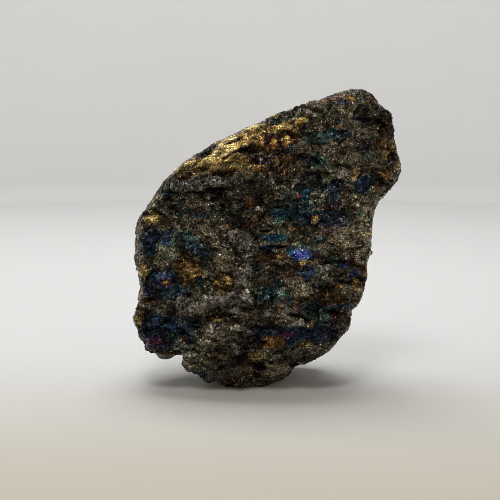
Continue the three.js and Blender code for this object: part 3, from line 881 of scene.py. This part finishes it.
# paintedShade, glow, spotty, whole, gap shade, metal, gloss and worn are each a slope and a start
skinSet = {
    "fine grain": 0.46,  # mm
    "coarse grain": 1.2,  # mm
    "crystal grain": 0.25,  # mm, inside one loose crystal
    "fine lean": 0.8,
    "wobble": (900.0, 1.0, 0.6),  # of the grains' edges: turns per metre, detail, mm
    "grain edge": (0.0, 0.25),
    "fine share": 0.78,  # of the fine grains in how light a spot is, the rest is coarse
    "film fine share": 0.55,  # of the fine grains in which spots carry film
    "film scatter": 0.12,  # grains of one patch differ this much in film
    "share edge": 0.15,
    "pure cover": (0.72, 0.9),  # films thinner than this look greyer
    "warm film": (0.1, 0.2, 1.0, 0.0),  # gold and copper don't
    "greyer": 0.45,
    "dull power": 1.3,
    "film power": 1.8,
    "spotty": (2.6, 0.2),  # light of grains in thin film
    "whole": (1.3, 0.5),  # and in thick film
    "whole cover": (0.55, 0.85),
    "glint": (0.93, 0.96),  # lots above this get the painted glint
    "paintedShade": (-0.93, 1.0),
    "quartz edge": 0.12,
    "quartz power": 1.2,
    "quartz painted shade": (-0.9, 1.0),
    "quartz glow": (0.6, 0.4),
    "foil lean": 25,  # degrees
    "foil scale": (300, 700, 1500),  # turns per metre along, deep and across
    "foil detail": 3.0,
    "foil highlight and shade": (0.34, 0.6, 0.35, 1.6),
    "foil smoothing": 0.4,
    "foil evening": 0.6,
    "gap shade": (0.8, 0.3),  # painted shade in the gaps between grains: light from a grain's edge inwards
    "metal": (-0.9, 0.92),  # from rock to quartz
    "gloss": (-0.25, 0.55),
    "relief": (0.6, 0.0002),  # strength, metres
    "worn": (0.5, 0.75),  # light inside one loose crystal
    "crystal gloss": 0.25,
    "dark": (0.034, 0.03, 0.022, 1),
    "olive": (0.44, 0.37, 0.23, 1),
    "tan": (0.8, 0.7, 0.5, 1),
    "glint colour": (0.95, 0.88, 0.72, 1),
    "stain grey": (0.1, 0.105, 0.1, 1),
    "quartz dark": (0.045, 0.04, 0.032, 1),
    "quartz pale": (0.72, 0.64, 0.54, 1),
}


def objectPlace(tree):
    return put(tree, "ShaderNodeTexCoord").outputs["Object"]


def attribute(tree, name, output="Fac"):
    return put(tree, "ShaderNodeAttribute", attribute_name=name).outputs[output]


def grainCells():
    # cells the size of the rock's grains: random values and a lean for each
    tree, start, end = newTree(
        "grainCells",
        "ShaderNodeTree",
        [("Size", "Float", 0.5), ("Lean", "Float", 0.6)],
        [(name, "Float") for name in ("Luck", "Lot", "Share", "Edge")] + [("Facet", "Vector")],
    )
    place = objectPlace(tree)
    scale, detail, reach = skinSet["wobble"]
    shift = centred(cloudsAt(place, scale, detail)["Color"])
    bent = vectors("ADD", place, scaled(shift, reach * mm))
    cells, edge = cellsAt(bent, sums("DIVIDE", 1 / mm, start.outputs["Size"]))
    lean = centred(cells["Color"])
    normal = put(tree, "ShaderNodeNewGeometry").outputs["Normal"]
    facet = vectors("ADD", normal, scaled(lean, start.outputs["Lean"]))
    luck, lot, share = parts(cells["Color"])
    wire(end, {
        "Luck": luck,
        "Lot": lot,
        "Share": share,
        "Facet": vectors("NORMALIZE", facet),
        "Edge": ramp(edge, *skinSet["grain edge"]),
    })
    return tree


def filmRamp(film):
    node = put(film.id_data, "ShaderNodeValToRGB", {0: film})
    stops = node.color_ramp.elements
    for stop, (position, colour) in zip(stops, (filmOrder[0], filmOrder[-1])):
        stop.position, stop.color = position, (*colour, 1)
    for position, colour in filmOrder[1:-1]:
        stops.new(position).color = (*colour, 1)
    return node.outputs[0]


def tarnishFilm():
    # the colour of one grain from the film on it and its own luck
    names = ("Film", "Vivid", "Glow", "Shade", "Luck", "Lot", "Share")
    inputs = [(name, "Float", 0.5) for name in names]
    tree, start, end = newTree("tarnishFilm", "ShaderNodeTree", inputs, [("Color", "Color")])
    film, vivid, glow, shade, luck, lot, share = (start.outputs[name] for name in names)
    spread = times(minus(luck, 0.5), skinSet["film scatter"])
    film = plus(film, spread, clamp=True)
    pure = filmRamp(film)
    stained = blendColours(skinSet["greyer"], pure, skinSet["stain grey"])
    warm = ramp(film, *skinSet["warm film"])
    purity = sums("MAXIMUM", ramp(vivid, *skinSet["pure cover"]), warm)
    hue = blendColours(purity, stained, pure)
    # dull rock: olive grey, much of it nearly black
    tan = blendColours(luck, skinSet["olive"], skinSet["tan"])
    darkness = sums("POWER", lot, skinSet["dull power"])
    dull = blendColours(darkness, skinSet["dark"], tan)
    # a grain carries the film or not
    low, high = minus(share, skinSet["share edge"]), plus(share, skinSet["share edge"])
    has = ramp(vivid, low, high)
    bright = sums("POWER", lot, skinSet["film power"])
    wires = {
        0: ramp(vivid, *skinSet["whole cover"]),
        2: line(bright, *skinSet["spotty"]),
        3: line(bright, *skinSet["whole"]),
    }
    light = times(put(tree, "ShaderNodeMix", wires, data_type="FLOAT").outputs[0], glow)
    skin = blendColours(has, scaled(dull, glow), scaled(hue, light))
    # a few grains are clean faces painted pale and bright, partly their own colour and partly a
    # painted glint
    flash = ramp(lot, *skinSet["glint"])
    skin = blendColours(flash, skin, skinSet["glint colour"])
    # hollows and cracks darken the colour as painted shade
    wire(end, {"Color": scaled(skin, line(shade, *skinSet["paintedShade"]))})
    return tree


grainGroup = grainCells()
filmGroup = tarnishFilm()


def newFinish(name):
    finish = bpy.data.materials.new(name)
    finish.use_nodes = True
    tree = finish.node_tree
    return finish, tree, tree.nodes["Principled BSDF"]


def filmColour(tree, luck, lot, share):
    wires = {name: attribute(tree, name.lower()) for name in ("Film", "Vivid", "Glow", "Shade")}
    wires |= {"Luck": luck, "Lot": lot, "Share": share}
    return put(tree, "ShaderNodeGroup", wires, node_tree=filmGroup).outputs["Color"]


def quartzColour(tree, lot):
    # quartz takes painted shade in the hollows and is darker where the rock is dark
    grey = blendColours(lot, skinSet["quartz dark"], skinSet["quartz pale"])
    clear = line(attribute(tree, "shade"), *skinSet["quartz painted shade"])
    glow = line(attribute(tree, "glow"), *skinSet["quartz glow"])
    return scaled(grey, times(clear, glow))


def oreSkin():
    finish, tree, shader = newFinish("ore_skin")
    # gold lies like crumpled foil, drawn out along its length, with painted highlights and shade
    # along its folds
    foil = goldShare("foil", attribute(tree, "film"), attribute(tree, "vivid"))
    lean = line(foil, -skinSet["foil smoothing"], skinSet["fine lean"])
    wires = {"Size": skinSet["fine grain"], "Lean": lean}
    fine = put(tree, "ShaderNodeGroup", wires, node_tree=grainGroup).outputs
    wires = {"Size": skinSet["coarse grain"]}
    coarse = put(tree, "ShaderNodeGroup", wires, node_tree=grainGroup).outputs
    mixed = []
    for name, portion in (("Lot", skinSet["fine share"]), ("Share", skinSet["film fine share"])):
        mixed.append(weighed((fine[name], portion), (coarse[name], 1 - portion)))
    lot, share = mixed
    evening = times(times(foil, skinSet["foil evening"]), minus(0.5, lot))
    lot = plus(lot, evening)
    colour = filmColour(tree, fine["Luck"], lot, share)
    wires = {
        "Vector": objectPlace(tree),
        "Rotation": (0, math.radians(skinSet["foil lean"]), 0),
        "Scale": skinSet["foil scale"],
    }
    drawn = put(tree, "ShaderNodeMapping", wires).outputs[0]
    foldLight = ramp(cloudsAt(drawn, 1.0, skinSet["foil detail"])[0], *skinSet["foil highlight and shade"])
    colour = blendColours(foil, colour, scaled(colour, foldLight))
    # quartz grains between the sulphide
    edge = skinSet["quartz edge"]
    low, high = minus(share, edge), plus(share, edge)
    isQuartz = ramp(attribute(tree, "quartz"), low, high)
    quartz = quartzColour(tree, sums("POWER", lot, skinSet["quartz power"]))
    colour = blendColours(isQuartz, colour, quartz)
    strength, distance = skinSet["relief"]
    wires = {"Strength": strength, "Distance": distance}
    wires |= {"Height": fine["Edge"], "Normal": fine["Facet"]}
    # the colour darkens in the gaps between grains as painted shade
    wire(shader, {
        "Base Color": scaled(colour, line(fine["Edge"], *skinSet["gap shade"])),
        "Metallic": line(isQuartz, *skinSet["metal"]),
        "Roughness": line(fine["Lot"], *skinSet["gloss"]),
        "Normal": put(tree, "ShaderNodeBump", wires).outputs[0],
    })
    return finish


def crystalFinish(name, metallic, roughness):
    # one tone for a whole crystal, from its own lots
    finish, tree, shader = newFinish(name)
    luck, lot, share = parts(attribute(tree, "lots", "Vector"))
    wires = {"Size": skinSet["crystal grain"]}
    cells = put(tree, "ShaderNodeGroup", wires, node_tree=grainGroup).outputs
    isQuartz = name == "quartz_grain"
    colour = quartzColour(tree, lot) if isQuartz else filmColour(tree, luck, lot, share)
    wire(shader, {
        "Base Color": scaled(colour, line(cells["Lot"], *skinSet["worn"])),
        "Metallic": metallic,
        "Roughness": line(cells["Luck"], skinSet["crystal gloss"], roughness),
    })
    return finish


crust.data.materials.clear()
crust.data.materials.append(oreSkin())
for polygon in crust.data.polygons:
    polygon.use_smooth = False
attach(crust, "root")
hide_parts("ore_stone")
print("crust finished")


# loose looking grains: small flat sided crystals that stand on the crust

grainSets = {  # how many of each to a mm2 of crust where they are thickest, sizes in mm
    "sulphide_grains": {
        "per mm2": 0.8,
        "size": (0.25, 0.62),
        "seed": 3,
        "slot": "ore",
        "finish": ("sulphide_grain", 0.95, 0.2),  # name, metallic, roughness
        "quartz": (0.25, 0.6, 1.0, 0.0),  # from this much of it to that they give way to it
    },
    "quartz_grains": {
        "per mm2": 2.4,
        "size": (0.4, 1.2),
        "seed": 5,
        "slot": "quartz",
        "finish": ("quartz_grain", 0.0, 0.25),
        "quartz": (0.2, 0.75, 0.0, 1.0),  # these come with it
    },
    "gold_grains": {
        "per mm2": 0.9,
        "size": (0.25, 0.55),
        "seed": 8,
        "slot": "fresh_sulphide",
        "finish": ("gold_grain", 1.0, 0.22),
    },
}

crystalSet = {
    "shapes": 3,
    "knock": 0.42,  # how far a corner is moved, of the radius
    "stretch": (0.7, 1.25),
    "turn": 6.283,  # up to a full one
    "sunk": 0.6,  # of the radius
    "open ground": (0.3, 0.75),  # from this value of shade to that there are fewer
    "above floor": (0.6, 1.6),  # mm
    "seeds": {"knock": 11, "size": 31, "stretch": 41, "turn": 51},
}


def grainMask(tree, values):
    # the share of the crust that has grains, from its painted values
    if "quartz" not in values:
        return goldShare("grains", readPoint(tree, "film"), readPoint(tree, "vivid"))
    share = ramp(readPoint(tree, "quartz"), *values["quartz"])
    # none down in the hollows and cracks
    return times(share, ramp(readPoint(tree, "shade"), *crystalSet["open ground"], 1.0, 0.0))


def drawLots(tree, seed, low=0.0, high=1.0):
    # three random values for each point
    wires = {"Min": (low,) * 3, "Max": (high,) * 3, "Seed": seed}
    return put(tree, "FunctionNodeRandomValue", wires, data_type="FLOAT_VECTOR").outputs[0]


def crystalShapes(tree):
    # each is a knocked about icosahedron
    shapes = put(tree, "GeometryNodeJoinGeometry")
    knock, seed = crystalSet["knock"], crystalSet["seeds"]["knock"]
    for number in range(crystalSet["shapes"]):
        ball = put(tree, "GeometryNodeMeshIcoSphere", {"Radius": 1.0, "Subdivisions": 1})
        offset = drawLots(tree, number + seed, -knock, knock)
        wires = {"Geometry": ball.outputs[0], "Offset": offset}
        bent = put(tree, "GeometryNodeSetPosition", wires)
        single = put(tree, "GeometryNodeGeometryToInstance", {0: bent.outputs[0]})
        wire(shapes, {0: single.outputs[0]})
    return shapes.outputs[0]


def grainTree(name, material):
    inputs = [("Geometry", "Geometry", None), ("Seed", "Int", 0)]
    inputs += [(label, "Float", 0.0) for label in ("Density", "Smallest", "Largest")]
    outputs = [("Geometry", "Geometry")]
    tree, start, end = newTree(name + "_scatter", "GeometryNodeTree", inputs, outputs)
    given = start.outputs
    height = parts(put(tree, "GeometryNodeInputPosition").outputs[0])[2]
    low, high = (edge * mm for edge in crystalSet["above floor"])
    density = times(given["Density"], grainMask(tree, grainSets[name]))
    density = times(density, ramp(height, low, high))
    wires = {"Mesh": given["Geometry"], "Density": density, "Seed": given["Seed"]}
    kind = "GeometryNodeDistributePointsOnFaces"
    spread = put(tree, kind, wires, distribute_method="RANDOM").outputs
    lots = drawLots(tree, given["Seed"])
    points = keepPoint(tree, spread["Points"], "lots", lots, "FLOAT_VECTOR")
    seeds = crystalSet["seeds"]
    wires = {"Min": given["Smallest"], "Max": given["Largest"], "Seed": seeds["size"]}
    size = put(tree, "FunctionNodeRandomValue", wires, data_type="FLOAT").outputs[1]
    radius = times(size, mm / 2)
    # each is sunk into the crust
    into = scaled(spread["Normal"], times(radius, -crystalSet["sunk"]))
    points = put(tree, "GeometryNodeSetPosition", {"Geometry": points, "Offset": into}).outputs[0]
    stretch = drawLots(tree, seeds["stretch"], *crystalSet["stretch"])
    wires = {
        "Points": points,
        "Instance": crystalShapes(tree),
        "Pick Instance": True,
        "Rotation": drawLots(tree, seeds["turn"], 0.0, crystalSet["turn"]),
        "Scale": scaled(stretch, radius),
    }
    placed = put(tree, "GeometryNodeInstanceOnPoints", wires)
    solid = put(tree, "GeometryNodeRealizeInstances", {0: placed.outputs[0]})
    wires = {"Geometry": solid.outputs[0], "Material": material}
    wire(end, {0: put(tree, "GeometryNodeSetMaterial", wires).outputs[0]})
    return tree


def makeGrains(name):
    values = grainSets[name]
    source = bpy.data.objects.new("grain_source", crust.data.copy())
    scene.collection.objects.link(source)
    scatter = source.modifiers.new("scatter", "NODES")
    scatter.node_group = grainTree(name, crystalFinish(*values["finish"]))
    smallest, largest = values["size"]
    setInputs(scatter, {
        "Density": values["per mm2"] * 1e6,  # to a square metre
        "Smallest": smallest,
        "Largest": largest,
        "Seed": values["seed"],
    })
    grains = finished(source, name)
    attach(grains, "root")
    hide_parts("ore_stone")
    print(name + ":", len(grains.data.polygons), "faces")


for name in grainSets:
    makeGrains(name)


# table top and light

stageSet = {  # metres
    "hub": 0.05,
    "radius": 0.57,
    "curve": 0.014,
    "curve steps": 8,
    "wall": 0.5,
    "sides": 96,
    "drop": 0.02 * mm,  # keeps the paper clear of the stone's foot
    "tones": ((0.75, 0.75, 0.745, 1), (0.8, 0.8, 0.795, 1)),
    "painted front shade": (0.63, 0.583, 0.492, 1),
    "front fade": (-0.12, 0.05),
    "clouds": (6.0, 2.0),  # turns per metre, detail
    "roughness": 0.85,
    "shine": 0.15,
    "room": ((0.98, 0.99, 1.0, 1), 0.1),
}

lightSet = {  # place, aim and size in metres, power in watts
    "overhead": ((-0.05, 0.12, 0.52), (0, 0.1, 0.08), (0.34, 0.4), 1.75),
    "left_fill": ((-0.4, -0.2, 0.5), (0, 0, 0.04), (0.25, 0.25), 0.1),
    "spark": ((-0.06, -0.36, 0.45), (0, 0, 0.04), (0.14, 0.14), 0.8),
    "backdrop": ((0, 0.2, 0.45), (0, 0.57, 0.15), (0.4, 0.2), 0.4),
}


def stageProfile():
    # distance and height of each ring, from the middle out and up the wall
    radius, curve, steps = stageSet["radius"], stageSet["curve"], stageSet["curve steps"]
    profile = [(stageSet["hub"], 0.0), (radius / 2, 0.0), (radius - curve, 0.0)]
    for step in range(1, steps + 1):
        turn = step / steps * math.pi / 2
        profile.append((radius - curve + curve * math.sin(turn), curve - curve * math.cos(turn)))
    return profile + [(radius, stageSet["wall"])]


def paperFinish():
    finish, tree, shader = newFinish("pale_paper")
    cloud = cloudsAt(objectPlace(tree), *stageSet["clouds"])[0]
    tone = blendColours(cloud, *stageSet["tones"])
    # the paper is a little warmer and darker towards the front, painted shade where the floor falls
    # off from the light
    back = ramp(parts(objectPlace(tree))[1], *stageSet["front fade"])
    wire(shader, {
        "Base Color": blendColours(back, stageSet["painted front shade"], tone),
        "Roughness": stageSet["roughness"],
        "Specular IOR Level": stageSet["shine"],
    })
    return finish


def makeStage():
    # a round pale floor that turns up into a wall
    profile, sides = stageProfile(), stageSet["sides"]
    points = [(0, 0, 0)]
    for distance, height in profile:
        for side in range(sides):
            turn = 2 * math.pi * side / sides
            points.append((distance * math.cos(turn), distance * math.sin(turn), height))
    faces = [(0, 1 + side, 1 + (side + 1) % sides) for side in range(sides)]
    for ring in range(len(profile) - 1):
        low, high = 1 + ring * sides, 1 + (ring + 1) * sides
        for side in range(sides):
            following = (side + 1) % sides
            faces.append((low + side, high + side, high + following, low + following))
    mesh = bpy.data.meshes.new("table_top")
    mesh.from_pydata(points, [], faces)
    mesh.transform(Matrix.Translation((0, 0, -stageSet["drop"])))
    for polygon in mesh.polygons:
        polygon.use_smooth = True
    mesh.materials.append(paperFinish())
    top = bpy.data.objects.new("table_top", mesh)
    scene.collection.objects.link(top)
    top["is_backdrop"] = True


def makeLight(name, place, aim, size, power):
    data = bpy.data.lights.new(name, "AREA")
    data.shape = "RECTANGLE"
    data.size, data.size_y = size
    data.energy = power
    light = bpy.data.objects.new(name, data)
    light.location = place
    light.rotation_euler = (Vector(aim) - Vector(place)).to_track_quat("-Z", "Y").to_euler()
    scene.collection.objects.link(light)


def makeRoom():
    colour, strength = stageSet["room"]
    room = bpy.data.worlds.new("room")
    room.use_nodes = True
    wire(room.node_tree.nodes["Background"], {"Color": colour, "Strength": strength})
    scene.world = room


makeStage()
for name, values in lightSet.items():
    makeLight(name, *values)
makeRoom()
scene.view_settings.view_transform = "Standard"
scene.view_settings.look = "None"
scene.cycles.denoising_prefilter = "NONE"  # keeps the sparkle of single grains
scene.cycles.filter_width = 0.75
print("stage and light set")

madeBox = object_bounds()
corners = (*cadBox, *madeBox)
print("boxes in mm:", *[[round(value / mm, 2) for value in corner] for corner in corners])
